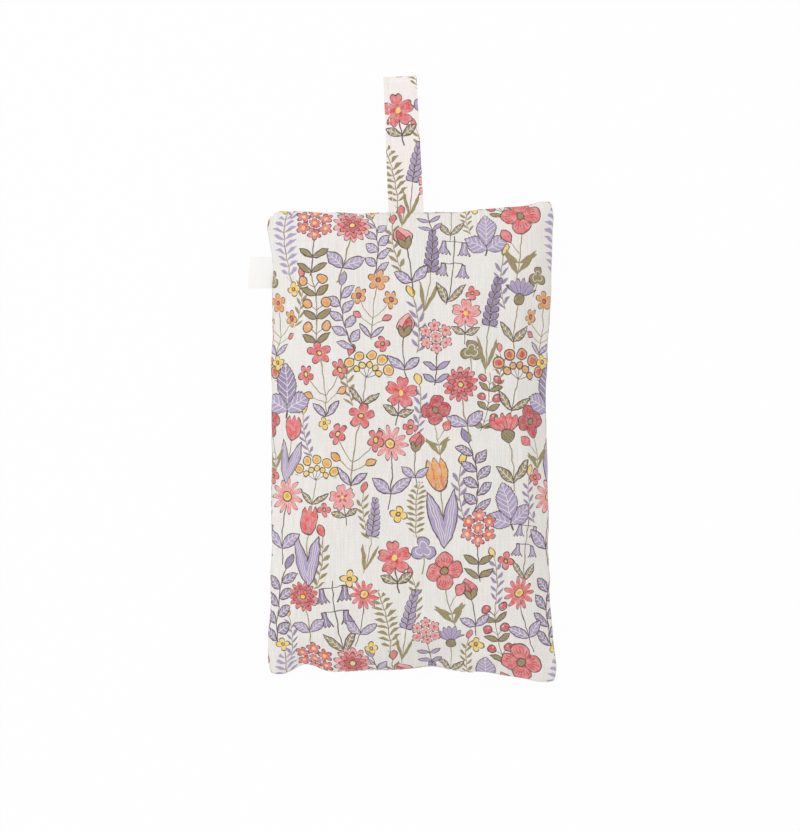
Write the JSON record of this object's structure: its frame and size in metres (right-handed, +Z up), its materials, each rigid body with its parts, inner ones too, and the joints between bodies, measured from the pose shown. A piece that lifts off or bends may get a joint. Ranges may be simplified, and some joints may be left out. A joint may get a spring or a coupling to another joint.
{
  "type": "lavender sachet",
  "caption": "Stuffed rectangular sachet of flower-printed cotton, lying on its back, with a hanging cloth loop in its top seam and a blank folded label in a side seam.",
  "frame": {"origin": "middle of the flat patch of the back panel that the sachet lies on, at the table's height", "axes": "+X to the right of the front panel, +Y along the length towards the hanging loop, +Z up out of the front panel"},
  "size_m": [0.1289, 0.2496, 0.0231],
  "materials": {
    "printed_cotton": "matt ivory cotton lawn with a fine slub weave and a small printed flower pattern",
    "label_tape": "white satin-woven tape, blank",
    "sewing_thread": "ivory spun thread",
    "dried_lavender": "loose dried flower buds"
  },
  "bodies": {
    "sachet": {"front_panel": "printed_cotton", "back_panel": "printed_cotton", "lavender_filling": "dried_lavender", "loop_sewn_end": "printed_cotton", "label_sewn_end": "label_tape", "seam_needle_thread": "sewing_thread", "seam_bobbin_thread": "sewing_thread", "closing_thread": "sewing_thread"},
    "loop": {"hanging_loop": "printed_cotton", "loop_edge_thread": "sewing_thread"},
    "label": {"side_label": "label_tape"}
  },
  "joints": [
    {"name": "loop_swing", "type": "hinge", "parent": "sachet", "child": "loop", "pos_m": [-0.0016, 0.09645, 0.007], "axis": [1, 0, 0], "range_deg": [0, 110]},
    {"name": "label_flip", "type": "hinge", "parent": "sachet", "child": "label", "pos_m": [-0.05958, 0.07, 0.007], "axis": [0, 1, 0], "range_deg": [-40, 110], "stiffness_Nm_per_rad": 0.00005}
  ]
}
